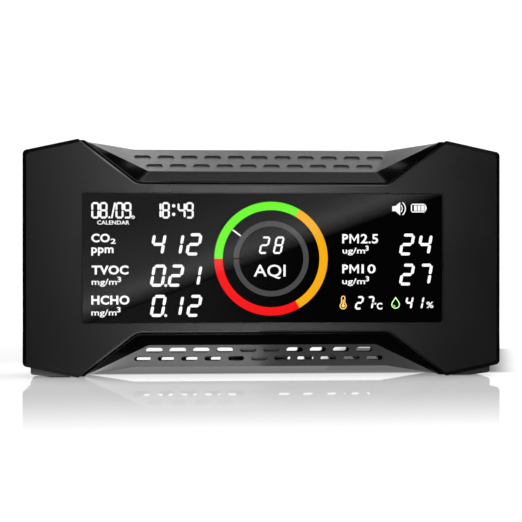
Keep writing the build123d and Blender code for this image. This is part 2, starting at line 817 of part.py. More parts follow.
def screws(spots, head_y, head_radius, head_height, shank_radius, shank_length, toward_front):
    """A group of pan-head screws: the shank runs to the front, or to the back."""
    way = 1 if toward_front else -1
    with BuildPart() as group:
        with BuildSketch(facing(head_y)):
            with Locations(*spots):
                Circle(head_radius)
        extrude(amount=-way * head_height)
        with BuildSketch(facing(head_y)):
            with Locations(*spots):
                Circle(shank_radius)
        extrude(amount=way * shank_length)
        with BuildSketch(facing(head_y + way * head_height)):
            with Locations(*spots):
                Rectangle(head_radius * 1.1, 0.5)
                Rectangle(0.5, head_radius * 1.1)
        extrude(amount=way * head_height * 0.5, mode=Mode.SUBTRACT)
    return group.part


housing_spots = four_corners(housing_screw_x, housing_screw_z)
keep("housing_screws", screws(housing_spots, rear_y - tube_depth, 2.7, 2.0, housing_shank, 14.0, True))
display_spots = four_corners(display_hole_x, display_hole_z)
keep("display_screws", screws(display_spots, display_back, 2.0, 1.5, board_shank, 5.5, True))
board_spots = four_corners(main_hole_x, main_hole_z)
keep("board_screws", screws(board_spots, main_board_y, 2.0, 1.5, board_shank, 6.0, False))

print(len(written), "pieces:", ", ".join(written))
print("panel tilt from level:", round(panel_tilt, 1))
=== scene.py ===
# Desktop air quality monitor: looks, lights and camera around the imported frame
from math import sin, cos, pi, radians, atan2

import bpy
import bmesh
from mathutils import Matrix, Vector


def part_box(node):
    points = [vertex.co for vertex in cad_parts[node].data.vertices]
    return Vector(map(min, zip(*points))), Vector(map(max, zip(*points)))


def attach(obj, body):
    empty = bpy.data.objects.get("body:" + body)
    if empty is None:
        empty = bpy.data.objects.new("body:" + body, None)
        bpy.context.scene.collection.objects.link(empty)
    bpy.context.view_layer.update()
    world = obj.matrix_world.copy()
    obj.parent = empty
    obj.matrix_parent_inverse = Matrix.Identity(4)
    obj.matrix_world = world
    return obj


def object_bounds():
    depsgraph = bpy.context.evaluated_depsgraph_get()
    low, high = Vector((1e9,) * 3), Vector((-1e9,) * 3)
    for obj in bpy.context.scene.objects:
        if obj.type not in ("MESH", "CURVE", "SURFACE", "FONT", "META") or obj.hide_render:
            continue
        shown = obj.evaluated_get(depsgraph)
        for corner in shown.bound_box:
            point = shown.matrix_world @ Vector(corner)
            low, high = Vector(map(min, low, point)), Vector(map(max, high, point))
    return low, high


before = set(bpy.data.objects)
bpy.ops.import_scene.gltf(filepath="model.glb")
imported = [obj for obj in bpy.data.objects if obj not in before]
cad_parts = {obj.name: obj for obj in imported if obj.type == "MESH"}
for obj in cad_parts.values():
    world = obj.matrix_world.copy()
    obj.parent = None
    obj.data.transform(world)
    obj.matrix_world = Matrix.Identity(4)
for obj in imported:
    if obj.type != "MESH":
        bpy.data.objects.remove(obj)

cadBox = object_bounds()
lowCorner, highCorner = [Vector(corner) for corner in cadBox]
middle = (lowCorner + highCorner) / 2
millimetre = 0.001
scene = bpy.context.scene
print("frame loaded:", len(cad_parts), "nodes")

# camera
cameraSpec = {"azimuth": -5.0, "elevation": 0.0, "distance": 0.778, "lens": 122.5, "sensor": 36.0,
              "shiftX": -0.0059, "shiftY": -0.0051, "clip": (0.01, 30.0)}


def addCamera():
    turn, lift = radians(cameraSpec["azimuth"]), radians(cameraSpec["elevation"])
    back = Vector((sin(turn) * cos(lift), -cos(turn) * cos(lift), sin(lift)))
    aim = Vector((middle.x, lowCorner.y, middle.z))
    data = bpy.data.cameras.new("studioCamera")
    data.lens, data.sensor_width = cameraSpec["lens"], cameraSpec["sensor"]
    data.shift_x, data.shift_y = cameraSpec["shiftX"], cameraSpec["shiftY"]
    data.clip_start, data.clip_end = cameraSpec["clip"]
    camera = bpy.data.objects.new("studioCamera", data)
    scene.collection.objects.link(camera)
    camera.location = aim + back * cameraSpec["distance"]
    camera.rotation_euler = (-back).to_track_quat("-Z", "Y").to_euler()
    scene.camera = camera
    return camera.location.copy()


eye = addCamera()
print("camera placed")


# node helpers
def newMaterial(name):
    material = bpy.data.materials.new(name)
    material.use_nodes = True
    tree = material.node_tree
    return material, tree, tree.nodes["Principled BSDF"]


def addNode(tree, kind, **settings):
    node = tree.nodes.new(kind)
    for key, value in settings.items():
        if key in node.inputs:
            node.inputs[key].default_value = value
        else:
            setattr(node, key, value)
    return node


def link(tree, source, target):
    tree.links.new(source, target)


def noiseAt(tree, scale, detail):
    place = addNode(tree, "ShaderNodeTexCoord")
    noise = addNode(tree, "ShaderNodeTexNoise", Scale=scale, Detail=detail, Roughness=0.55)
    link(tree, place.outputs["Object"], noise.inputs["Vector"])
    return noise.outputs["Fac"]


def mapped(tree, source, low, high, fromLow=0.0, fromHigh=1.0):
    node = addNode(tree, "ShaderNodeMapRange")
    node.inputs["From Min"].default_value, node.inputs["From Max"].default_value = fromLow, fromHigh
    node.inputs["To Min"].default_value, node.inputs["To Max"].default_value = low, high
    link(tree, source, node.inputs["Value"])
    return node.outputs["Result"]


def easedMap(tree, source, fromLow, fromHigh, low, high):
    result = mapped(tree, source, low, high, fromLow, fromHigh)
    result.node.interpolation_type = "SMOOTHSTEP"
    return result


def joined(tree, operation, first, second):
    # one step of arithmetic; the second value is a socket or a plain number
    node = addNode(tree, "ShaderNodeMath", operation=operation)
    link(tree, first, node.inputs[0])
    if isinstance(second, float):
        node.inputs[1].default_value = second
    else:
        link(tree, second, node.inputs[1])
    return node.outputs[0]


def vectorStep(tree, operation, first, second=None):
    # one step of vector arithmetic, against a fixed vector where one is given
    node = addNode(tree, "ShaderNodeVectorMath", operation=operation)
    link(tree, first, node.inputs[0])
    if second is not None:
        node.inputs[1].default_value = second
    return node.outputs["Value" if operation in ("LENGTH", "DOT_PRODUCT") else "Vector"]


def axesOf(tree, place, output):
    axes = addNode(tree, "ShaderNodeSeparateXYZ")
    link(tree, place.outputs[output], axes.inputs[0])
    return axes.outputs


def layered(tree, share, under, over):
    # the second finish laid over the first by its share, sent to the surface
    mix = addNode(tree, "ShaderNodeMixShader")
    link(tree, share, mix.inputs[0])
    link(tree, under.outputs[0], mix.inputs[1])
    link(tree, over.outputs[0], mix.inputs[2])
    link(tree, mix.outputs[0], tree.nodes["Material Output"].inputs["Surface"])


def tinted(tree, source, dark, light):
    ramp = addNode(tree, "ShaderNodeValToRGB")
    ramp.color_ramp.elements[0].color, ramp.color_ramp.elements[1].color = (*dark, 1), (*light, 1)
    link(tree, source, ramp.inputs["Fac"])
    return ramp.outputs["Color"]


def bumped(tree, source, shader, strength, distance):
    bump = addNode(tree, "ShaderNodeBump", Strength=strength, Distance=distance)
    link(tree, source, bump.inputs["Height"])
    link(tree, bump.outputs["Normal"], shader.inputs["Normal"])


cloudSpread = (0.3, 0.7)  # the part of the slow noise that the gloss follows


def mouldedGrain(tree, shader, look):
    # fine moulded grain, with slow changes of gloss as a handled surface has
    grain = noiseAt(tree, look["grain"], look.get("grainDetail", 4.0))
    cloud = noiseAt(tree, look["cloud"], 2.0)
    link(tree, tinted(tree, cloud, look["dark"], look["light"]), shader.inputs["Base Color"])
    link(tree, mapped(tree, cloud, *look["gloss"], *cloudSpread), shader.inputs["Roughness"])
    bumped(tree, grain, shader, look["bump"], look["depth"])
    shader.inputs["IOR"].default_value = look.get("ior", 1.5)
    shader.inputs["Metallic"].default_value = look.get("metal", 0.0)


def mouldedPlastic(name, look):
    material, tree, shader = newMaterial(name)
    mouldedGrain(tree, shader, look)
    return material


def paint(nodeNames, material):
    for nodeName in nodeNames:
        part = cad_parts[nodeName]
        part.data.materials.clear()
        part.data.materials.append(material)


def polishedBlack(tree, roughness, ior, shade):
    polished = addNode(tree, "ShaderNodeBsdfPrincipled", Roughness=roughness, IOR=ior)
    polished.inputs["Base Color"].default_value = (shade, shade, shade, 1)
    return polished


# bezel, housing, feet and buttons
bezelLook = {"grain": 5200, "cloud": 26, "dark": (0.004, 0.004, 0.0043), "light": (0.006, 0.006, 0.0064),
             "gloss": (0.26, 0.3), "bump": 0.06, "depth": 0.00003, "ior": 1.28}
# the ears' rims: glossier than the face, and darker and less reflective as a painted shade
shadedEarRim = {"roughness": 0.2, "ior": 1.15, "shade": 0.003, "tilt": (-0.97, -0.93), "reach": (0.070, 0.078)}
panelLook = {"grain": 2600, "cloud": 30, "dark": (0.044, 0.044, 0.045), "light": (0.056, 0.056, 0.058),
             "gloss": (0.46, 0.52), "bump": 0.4, "depth": 0.0001, "grainDetail": 5.0}
bandLook = {"roughness": 0.16, "ior": 1.11, "shade": 0.0015, "lean": (-0.2, -0.1),
            "crease": 5.4 * millimetre, "edge": 0.05 * millimetre}


def bezelPlastic():
    # satin face; the tilted rims of the ears get a darker copy that is glossier and reflects less, more so towards
    # the ends of the width: a painted shade where those rims look black, while the waist rims keep the satin and
    # catch the light
    material, tree, satin = newMaterial("bezelSatin")
    mouldedGrain(tree, satin, bezelLook)
    polished = polishedBlack(tree, shadedEarRim["roughness"], shadedEarRim["ior"], shadedEarRim["shade"])
    place = addNode(tree, "ShaderNodeTexCoord")
    normal, spot = axesOf(tree, place, "Normal"), axesOf(tree, place, "Object")
    tilted = mapped(tree, normal["Y"], 0.0, 1.0, *shadedEarRim["tilt"])
    side = addNode(tree, "ShaderNodeMath", operation="ABSOLUTE")
    link(tree, spot["X"], side.inputs[0])
    onEar = mapped(tree, side.outputs[0], 0.0, 1.0, *shadedEarRim["reach"])
    # the darker copy lies only on the tilted rims of the ears: painted shade
    layered(tree, joined(tree, "MULTIPLY", tilted, onEar), satin, polished)
    return material


def housingPlastic():
    # textured panels, with a polished band between the mouth and the crease
    material, tree, textured = newMaterial("housingTextured")
    mouldedGrain(tree, textured, panelLook)
    polished = polishedBlack(tree, bandLook["roughness"], bandLook["ior"], bandLook["shade"])
    place = addNode(tree, "ShaderNodeTexCoord")
    spot, normal = axesOf(tree, place, "Object"), axesOf(tree, place, "Normal")
    crease, edge = lowCorner.y + bandLook["crease"], bandLook["edge"]
    inBand = mapped(tree, spot["Y"], 1.0, 0.0, crease - edge, crease + edge)
    leaning = mapped(tree, normal["Y"], 1.0, 0.0, *bandLook["lean"])
    layered(tree, joined(tree, "MULTIPLY", inBand, leaning), textured, polished)
    return material


paint(["front_bezel"], bezelPlastic())
paint(["rear_housing"], housingPlastic())
rubberLook = {"grain": 1800, "cloud": 60, "dark": (0.012, 0.012, 0.012), "light": (0.024, 0.024, 0.024),
              "gloss": (0.6, 0.75), "bump": 0.4, "depth": 0.00008}
paint(["foot_left", "foot_right"], mouldedPlastic("footRubber", rubberLook))
capLook = {"grain": 4200, "cloud": 90, "dark": (0.014, 0.014, 0.015), "light": (0.022, 0.022, 0.023),
           "gloss": (0.32, 0.42), "bump": 0.15, "depth": 0.00004}
paint(["power_button", "menu_button", "up_button", "down_button"], mouldedPlastic("buttonCap", capLook))
print("casing finished")


# display window and the black film behind it
windowLook = {"smear": 38, "dark": 0.002, "light": 0.003, "gloss": (0.006, 0.014), "spread": (0.35, 0.7),
              "ior": 1.5, "alpha": 0.45}
filmLook = {"speckle": 900, "dark": 0.001, "light": 0.002, "gloss": (0.5, 0.6), "ior": 1.1}


def smokedWindow():
    material, tree, shader = newMaterial("smokedWindow")
    smear = noiseAt(tree, windowLook["smear"], 3.0)
    link(tree, tinted(tree, smear, [windowLook["dark"]] * 3, [windowLook["light"]] * 3), shader.inputs["Base Color"])
    link(tree, mapped(tree, smear, *windowLook["gloss"], *windowLook["spread"]), shader.inputs["Roughness"])
    shader.inputs["IOR"].default_value = windowLook["ior"]
    shader.inputs["Alpha"].default_value = windowLook["alpha"]
    return material


def printedFilm():
    material, tree, shader = newMaterial("printedFilm")
    speckle = noiseAt(tree, filmLook["speckle"], 2.0)
    link(tree, tinted(tree, speckle, [filmLook["dark"]] * 3, [filmLook["light"]] * 3), shader.inputs["Base Color"])
    link(tree, mapped(tree, speckle, *filmLook["gloss"]), shader.inputs["Roughness"])
    shader.inputs["IOR"].default_value = filmLook["ior"]
    return material


paint(["display_window"], smokedWindow())
paint(["display_film"], printedFilm())

# inside: boards, sensors and cell
insideLooks = {
    "boardMask": {
        "nodes": ["display_board", "main_board"], "grain": 700, "cloud": 120,
        "dark": (0.008, 0.07, 0.025), "light": (0.015, 0.12, 0.045),
        "gloss": (0.25, 0.4), "bump": 0.3, "depth": 0.00006},
    "whiteGuide": {
        "nodes": ["display_reflector"], "grain": 900, "cloud": 40,
        "dark": (0.7, 0.7, 0.68), "light": (0.8, 0.8, 0.78),
        "gloss": (0.35, 0.45), "bump": 0.1, "depth": 0.00004},
    "lightPackage": {
        "nodes": ["display_leds"], "grain": 900, "cloud": 500,
        "dark": (0.75, 0.7, 0.45), "light": (0.85, 0.82, 0.6),
        "gloss": (0.2, 0.3), "bump": 0.05, "depth": 0.00002},
    "blackNylon": {
        "nodes": ["board_chips", "board_header", "tactile_switches", "buzzer"], "grain": 2200, "cloud": 200,
        "dark": (0.012, 0.012, 0.012), "light": (0.025, 0.025, 0.025),
        "gloss": (0.4, 0.55), "bump": 0.25, "depth": 0.00004},
    "nickelPlate": {
        "nodes": ["usb_socket", "pm_axle"], "grain": 1500, "cloud": 300,
        "dark": (0.55, 0.55, 0.54), "light": (0.68, 0.67, 0.65),
        "gloss": (0.2, 0.32), "bump": 0.1, "depth": 0.00002, "metal": 1.0},
    "closedFoam": {
        "nodes": ["battery_pad"], "grain": 1400, "cloud": 200,
        "dark": (0.03, 0.03, 0.03), "light": (0.07, 0.07, 0.07),
        "gloss": (0.85, 0.95), "bump": 0.9, "depth": 0.0002},
    "foilPouch": {
        "nodes": ["battery_cell"], "grain": 260, "cloud": 60,
        "dark": (0.5, 0.51, 0.54), "light": (0.62, 0.63, 0.66),
        "gloss": (0.28, 0.42), "bump": 0.35, "depth": 0.0001, "metal": 0.9},
    "greyCase": {
        "nodes": ["pm_case", "pm_impeller"], "grain": 2200, "cloud": 80,
        "dark": (0.035, 0.035, 0.038), "light": (0.06, 0.06, 0.064),
        "gloss": (0.42, 0.55), "bump": 0.3, "depth": 0.00006},
    "tinnedShield": {
        "nodes": ["pm_lid", "tvoc_sensor"], "grain": 800, "cloud": 90,
        "dark": (0.5, 0.5, 0.5), "light": (0.64, 0.64, 0.65),
        "gloss": (0.28, 0.4), "bump": 0.15, "depth": 0.00004, "metal": 1.0},
    "turnedBrass": {
        "nodes": ["pm_laser", "co2_sensor"], "grain": 1200, "cloud": 120,
        "dark": (0.6, 0.4, 0.12), "light": (0.75, 0.53, 0.2),
        "gloss": (0.22, 0.34), "bump": 0.12, "depth": 0.00003, "metal": 1.0},
    "whiteSensor": {
        "nodes": ["hcho_sensor", "climate_sensor"], "grain": 1600, "cloud": 90,
        "dark": (0.68, 0.68, 0.66), "light": (0.78, 0.78, 0.76),
        "gloss": (0.4, 0.5), "bump": 0.2, "depth": 0.00005},
    "creamPlug": {
        "nodes": ["battery_plug", "pm_plug"], "grain": 1600, "cloud": 200,
        "dark": (0.62, 0.55, 0.4), "light": (0.72, 0.66, 0.5),
        "gloss": (0.4, 0.5), "bump": 0.15, "depth": 0.00004},
    "redSleeve": {
        "nodes": ["battery_lead"], "grain": 2400, "cloud": 300,
        "dark": (0.35, 0.02, 0.015), "light": (0.48, 0.03, 0.02),
        "gloss": (0.4, 0.5), "bump": 0.2, "depth": 0.00003},
    "blackSleeve": {
        "nodes": ["pm_lead"], "grain": 2400, "cloud": 300,
        "dark": (0.012, 0.012, 0.012), "light": (0.022, 0.022, 0.022),
        "gloss": (0.4, 0.5), "bump": 0.2, "depth": 0.00003},
    "blackScrew": {
        "nodes": ["housing_screws"], "grain": 1800, "cloud": 300,
        "dark": (0.03, 0.03, 0.032), "light": (0.06, 0.06, 0.062),
        "gloss": (0.35, 0.5), "bump": 0.25, "depth": 0.00003, "metal": 0.8},
    "zincScrew": {
        "nodes": ["display_screws", "board_screws"], "grain": 1800, "cloud": 300,
        "dark": (0.5, 0.5, 0.5), "light": (0.66, 0.66, 0.64),
        "gloss": (0.25, 0.35), "bump": 0.15, "depth": 0.00003, "metal": 1.0},
}
for lookName, look in insideLooks.items():
    paint(look["nodes"], mouldedPlastic(lookName, look))
print("inside finished")

# readouts
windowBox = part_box("display_window")
inkFront = windowBox[1][1] + 0.02 * millimetre  # just behind the pane
inkDepth = 0.03 * millimetre


inkLook = {"mottle": 420, "dull": 0.3, "bright": 0.36, "roughness": 0.6}


def glowing(name, colour, strength):
    material, tree, shader = newMaterial(name)
    mottle = noiseAt(tree, inkLook["mottle"], 2.0)
    dull, bright = [[part * inkLook[shade] for part in colour] for shade in ("dull", "bright")]
    link(tree, tinted(tree, mottle, dull, bright), shader.inputs["Base Color"])
    shader.inputs["Roughness"].default_value = inkLook["roughness"]
    shader.inputs["Emission Color"].default_value = (*colour, 1)
    shader.inputs["Emission Strength"].default_value = strength
    return material


def finishInk(name, mesh, material):
    piece = bpy.data.objects.new(name, mesh)
    scene.collection.objects.link(piece)
    mesh.materials.clear()
    mesh.materials.append(material)
    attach(piece, "casing")


def inkPiece(name, polygons, material):
    # flat lit shapes: each polygon is a list of (x, z) in millimetres from the middle of the front
    mesh = bpy.data.meshes.new(name)
    shape = bmesh.new()
    for polygon in polygons:
        front, back = [[shape.verts.new((x * millimetre, depth, middle.z + z * millimetre)) for x, z in polygon]
                       for depth in (inkFront, inkFront + inkDepth)]
        shape.faces.new(front)
        shape.faces.new(back[::-1])
        for index in range(len(front)):
            after = (index + 1) % len(front)
            shape.faces.new((front[after], front[index], back[index], back[after]))
    bmesh.ops.recalc_face_normals(shape, faces=shape.faces)
    bmesh.ops.triangulate(shape, faces=[face for face in shape.faces if len(face.verts) > 4])
    shape.to_mesh(mesh)
    shape.free()
    finishInk(name, mesh, material)


def roundedBar(start, end, width, steps=5):
    # a bar with half-round ends
    run = atan2(end[1] - start[1], end[0] - start[0])
    points = []
    for centre, turn in ((end, run - pi / 2), (start, run + pi / 2)):
        for step in range(steps + 1):
            angle = turn + pi * step / steps
            points.append((centre[0] + cos(angle) * width / 2, centre[1] + sin(angle) * width / 2))
    return points


def arcBand(centre, inner, outer, fromDegrees, toDegrees, step=2.0):
    count = max(2, int(abs(toDegrees - fromDegrees) / step))
    quads = []
    for index in range(count):
        a = radians(fromDegrees + (toDegrees - fromDegrees) * index / count)
        b = radians(fromDegrees + (toDegrees - fromDegrees) * (index + 1) / count)
        quads.append([(centre[0] + cos(t) * r, centre[1] + sin(t) * r) for t, r in
                      ((a, inner), (b, inner), (b, outer), (a, outer))])
    return quads


# segments lit for each digit in use:
# a top, b upper right, c lower right, d bottom, e lower left, f upper left, g middle
litSegments = {"0": "abcdef", "1": "bc", "2": "abged", "4": "fgbc", "7": "abc", "8": "abcdefg", "9": "abcdfg"}


def digit(character, left, bottom, width, tall, stroke, lean):
    # one leaning seven-segment digit; left and width are those of its whole leaning box
    gap, half = stroke * 0.16, stroke / 2  # the gap left at each end of a segment
    x0, x1 = left + half, left + width - tall * lean - half
    z0, z1, z2 = bottom + half, bottom + tall / 2, bottom + tall - half
    inset = half + gap
    bars = {"a": ((x0 + inset, z2), (x1 - inset, z2)), "g": ((x0 + inset, z1), (x1 - inset, z1)),
            "d": ((x0 + inset, z0), (x1 - inset, z0)), "b": ((x1, z1 + inset), (x1, z2 - inset)),
            "c": ((x1, z0 + inset), (x1, z1 - inset)), "f": ((x0, z1 + inset), (x0, z2 - inset)),
            "e": ((x0, z0 + inset), (x0, z1 - inset))}
    shapes = []
    for name in litSegments[character]:
        shapes.append([(x + (z - bottom) * lean, z) for x, z in roundedBar(*bars[name], stroke)])
    return shapes


def disc(x, z, radius):
    angles = [2 * pi * k / 14 for k in range(14)]
    return [(x + cos(angle) * radius, z + sin(angle) * radius) for angle in angles]


def label(name, text, left, right, bottom, top, weight):
    # lettering from the built-in typeface, thickened by weight and fitted to the box it is given
    data = bpy.data.curves.new(name, "FONT")
    data.body, data.size, data.offset, data.resolution_u = text, 1.0, weight, 3
    data.space_character = 1.0 + 1.6 * weight  # heavier letters stand a little further apart
    carrier = bpy.data.objects.new(name + "Outline", data)
    mesh = bpy.data.meshes.new_from_object(carrier)
    bpy.data.objects.remove(carrier)
    xs, ys = [v.co.x for v in mesh.vertices], [v.co.y for v in mesh.vertices]
    wide, tall = (right - left) / (max(xs) - min(xs)), (top - bottom) / (max(ys) - min(ys))
    for vertex in mesh.vertices:
        x, z = left + (vertex.co.x - min(xs)) * wide, bottom + (vertex.co.y - min(ys)) * tall
        vertex.co = (x * millimetre, inkFront, middle.z + z * millimetre)
    shape = bmesh.new()
    shape.from_mesh(mesh)
    bmesh.ops.remove_doubles(shape, verts=shape.verts, dist=0.004 * millimetre)  # close the outline's seams
    rim = bmesh.ops.extrude_face_region(shape, geom=shape.faces[:])
    moved = [item for item in rim["geom"] if isinstance(item, bmesh.types.BMVert)]
    bmesh.ops.translate(shape, verts=moved, vec=(0, inkDepth, 0))
    bmesh.ops.recalc_face_normals(shape, faces=shape.faces)
    shape.to_mesh(mesh)
    shape.free()
    finishInk(name, mesh, whiteInk)


whiteInk = glowing("whiteInk", (1.0, 1.0, 1.0), 3.4)
greenInk = glowing("greenInk", (0.16, 1.0, 0.016), 3.0)
orangeInk = glowing("orangeInk", (1.0, 0.46, 0.006), 3.0)
redInk = glowing("redInk", (1.0, 0.006, 0.008), 3.0)
greyInk = glowing("greyInk", (0.21, 0.21, 0.21), 1.0)
amberInk = glowing("amberInk", (1.0, 0.6, 0.14), 5.0)
leafInk = glowing("leafInk", (0.5, 1.0, 0.28), 5.0)

# rows of digits: the text, each digit's left edge and width, and the row's bottom and height
bigStroke, bigLean = 1.32, 0.17
digitRows = {
    "gasDigits": [("412", ((-50.05, 7.6), (-40.75, 6.15), (-34.5, 7.75)), 1.25, 9.75),
                  ("021", ((-50.08, 7.73), (-42.4, 7.8), (-33.1, 6.3)), -12.4, 9.7),
                  ("012", ((-50.08, 7.73), (-40.95, 6.2), (-34.2, 7.45)), -25.6, 9.65)],
    "particleDigits": [("24", ((59.85, 7.5), (67.85, 7.4)), 1.3, 9.65),
                       ("27", ((59.85, 7.5), (67.85, 7.5)), -12.0, 9.65)],
}
for name, rows in digitRows.items():
    shapes = []
    for text, spots, bottom, tall in rows:
        for character, (left, width) in zip(text, spots):
            shapes += digit(character, left, bottom, width, tall, bigStroke, bigLean)
    if name == "gasDigits":
        shapes += [disc(-43.0, z, 0.62) for z in (-11.85, -25.0)]  # decimal points
    inkPiece(name, shapes, whiteInk)

# date and clock, whose digits stand upright and close together
dateDigit = {"width": 3.5, "tall": 7.15, "stroke": 0.86, "lean": 0.0}
shapes = []
for character, left in zip("0809", (-75.35, -71.8, -64.85, -61.4)):
    shapes += digit(character, left, 17.35, **dateDigit)
for character, left in zip("1849", (-48.35, -44.7, -37.8, -34.25)):
    shapes += digit(character, left, 17.4, **dateDigit)
shapes.append(roundedBar((-66.45, 17.75), (-65.15, 24.1), 0.7))
shapes += [disc(-67.5, 17.85, 0.48), disc(-39.5, 22.95, 0.74), disc(-39.5, 19.25, 0.74)]
inkPiece("clockDigits", shapes, whiteInk)
inkPiece("dateRing", arcBand((-57.2, 17.95), 0.35, 0.75, 0, 360, 30), whiteInk)

# small digits beside the thermometer and the drop, and the index in the ring
smallDigit = {"width": 4.5, "tall": 5.95, "stroke": 0.86, "lean": 0.2}
shapes = []
climateSpots = (("2", 40.1, -22.6), ("7", 44.85, -22.6), ("4", 62.25, -22.65), ("1", 67.05, -22.65))
for character, left, bottom in climateSpots:
    shapes += digit(character, left, bottom, **smallDigit)
inkPiece("climateDigits", shapes, whiteInk)
indexDigit = {"width": 5.5, "tall": 7.65, "stroke": 0.85, "lean": 0.21}
shapes = []
for character, left in zip("28", (-2.35, 3.85)):
    shapes += digit(character, left, 1.95, **indexDigit)
inkPiece("indexDigits", shapes, whiteInk)

# lettering: text, left, right, bottom, top and weight
letterings = {
    "calendarWord": ("CALENDAR", -72.8, -58.8, 14.7, 16.5, 0.018),
    "carbonWord": ("CO", -75.35, -67.3, 6.95, 10.75, 0.032),
    "carbonCount": ("2", -67.0, -64.75, 6.35, 8.6, 0.022),
    "carbonUnit": ("ppm", -75.35, -65.7, 1.15, 4.8, 0.024),
    "organicWord": ("TVOC", -75.2, -59.2, -7.1, -3.1, 0.035),
    "organicUnit": ("mg/m", -75.2, -64.3, -12.4, -8.9, 0.014),
    "organicPower": ("3", -64.1, -62.4, -10.4, -8.0, 0.025),
    "aldehydeWord": ("HCHO", -75.35, -58.75, -20.2, -16.2, 0.035),
    "aldehydeUnit": ("mg/m", -75.35, -64.4, -25.75, -22.25, 0.014),
    "aldehydePower": ("3", -64.3, -62.6, -23.6, -21.2, 0.025),
    "fineWord": ("P", 34.75, 37.35, 6.6, 10.7, 0.03),
    "fineCount": ("2.5", 42.95, 50.7, 6.55, 10.75, 0.018),
    "fineUnit": ("ug/m", 34.85, 44.9, 1.3, 4.7, 0.014),
    "finePower": ("3", 45.0, 46.5, 3.3, 5.6, 0.025),
    "coarseWord": ("P", 34.75, 37.35, -6.6, -2.7, 0.03),
    "coarseCount": ("10", 43.3, 49.6, -6.65, -2.65, 0.018),
    "coarseUnit": ("ug/m", 34.75, 44.9, -12.2, -8.8, 0.014),
    "coarsePower": ("3", 45.1, 46.7, -10.2, -7.9, 0.025),
    "indexWord": ("AQI", -4.4, 9.65, -9.0, -2.75, 0.008),
    "degreeWord": ("C", 50.1, 52.6, -22.6, -19.6, 0.035),
    "percentWord": ("%", 72.25, 75.45, -22.0, -19.2, 0.02),
}
for name, (text, left, right, bottom, top, weight) in letterings.items():
    label(name, text, left, right, bottom, top, weight)


def broadM(bottom, top):
    # two legs and a thin V that dips between them
    left, right, leg = 37.95, 42.15, 0.72
    centre, dip = (left + right) / 2, bottom + (top - bottom) * 0.18
    slant = leg * 0.8 * 1.9  # height of the V's strokes
    return [[(left, bottom), (left + leg, bottom), (left + leg, top), (left, top)],
            [(right - leg, bottom), (right, bottom), (right, top), (right - leg, top)],
            [(left + leg, top), (left + leg, top - slant), (centre, dip), (centre, dip + slant)],
            [(right - leg, top), (centre, dip + slant), (centre, dip), (right - leg, top - slant)]]


inkPiece("particleM", broadM(6.6, 10.7) + broadM(-6.6, -2.7), whiteInk)
inkPiece("degreeRing", arcBand((49.45, -20.0), 0.16, 0.42, 0, 360, 30), whiteInk)

# speaker, battery, thermometer and drop
speakerShapes = [[(57.0, 20.85), (58.5, 20.85), (58.5, 23.05), (57.0, 23.05)],
                 [(58.45, 20.85), (60.55, 19.05), (60.55, 24.85), (58.45, 23.05)]]
speakerShapes += arcBand((59.3, 21.95), 2.0, 2.4, -42, 42, 14)
speakerShapes += arcBand((59.3, 21.95), 3.35, 3.8, -50, 50, 10)
inkPiece("speakerSign", speakerShapes, whiteInk)
cellShapes = [roundedBar((66.0, z), (71.2, z), 0.5) for z in (20.55, 23.9)]
cellShapes += [roundedBar((x, 20.95), (x, 23.5), 0.5) for x in (65.6, 71.7)]
cellShapes += [[(x, 21.05), (x + 1.25, 21.05), (x + 1.25, 23.4), (x, 23.4)] for x in (66.75, 68.35, 69.95)]
cellShapes.append([(71.95, 21.5), (72.35, 21.5), (72.35, 22.95), (71.95, 22.95)])
inkPiece("chargeSign", cellShapes, whiteInk)
bulb = (35.15, -20.9)
glassShapes = arcBand(bulb, 1.2, 1.55, 115, 425, 15)
glassShapes += [disc(*bulb, 0.7), roundedBar(bulb, (35.15, -18.3), 0.42)]
glassShapes += [roundedBar((x, -19.6), (x, -17.4), 0.34) for x in (34.4, 35.9)]
glassShapes += arcBand((35.15, -17.4), 0.58, 0.92, 0, 180, 20)
inkPiece("thermometerSign", glassShapes, amberInk)


drop = {"centre": (58.5, -20.35), "radius": 1.9, "tip": 3.4, "hollow": 0.78}


def dropLoop(scale):
    # round below, drawn up to a point above
    (x, z), radius = drop["centre"], drop["radius"] * scale
    angles = [radians(degrees) for degrees in range(-120, 121, 15)]
    return [(x + sin(angle) * radius, z - cos(angle) * radius) for angle in angles] + [(x, z + drop["tip"] * scale)]


outer, inner = dropLoop(1.0), dropLoop(drop["hollow"])
dropShapes = []
for index in range(len(outer)):
    after = (index + 1) % len(outer)
    dropShapes.append([outer[index], outer[after], inner[after], inner[index]])
dropShapes += arcBand(drop["centre"], 0.72, 1.0, 200, 265, 13)  # the glint
inkPiece("dropSign", dropShapes, leafInk)

# the index dial
ringCentre = (3.29, -0.15)
ring = {"inner": 21.35, "outer": 25.0, "greyInner": 14.2, "greyOuter": 16.6,
        "needle": 143.3, "needleReach": (16.9, 21.0), "needleWidth": 0.65}
for name, fromDegrees, ink in (("ringGreen", 60, greenInk), ("ringOrange", -60, orangeInk), ("ringRed", 180, redInk)):
    inkPiece(name, arcBand(ringCentre, ring["inner"], ring["outer"], fromDegrees, fromDegrees + 120), ink)
inkPiece("ringGrey", arcBand(ringCentre, ring["greyInner"], ring["greyOuter"], -178.8, 178.8), greyInk)
needle = radians(ring["needle"])
needleEnds = [(ringCentre[0] + cos(needle) * r, ringCentre[1] + sin(needle) * r) for r in ring["needleReach"]]
inkPiece("ringNeedle", [roundedBar(*needleEnds, ring["needleWidth"], 2)], whiteInk)
print("readouts drawn")


# studio: floor, glare card, lamps and world
def areaLamp(name, location, aim, size, power):
    data = bpy.data.lights.new(name, "AREA")
    data.shape = "RECTANGLE"
    data.size, data.size_y = size
    data.energy = power
    lamp = bpy.data.objects.new(name, data)
    scene.collection.objects.link(lamp)
    lamp.location = location
    lamp.rotation_euler = (Vector(aim) - Vector(location)).to_track_quat("-Z", "Y").to_euler()
    lamp.visible_camera = False


def stagedPlane(name, corners, material):
    mesh = bpy.data.meshes.new(name)
    mesh.from_pydata(corners, [], [tuple(range(len(corners)))])
    plane = bpy.data.objects.new(name, mesh)
    scene.collection.objects.link(plane)
    mesh.materials.append(material)
    return plane


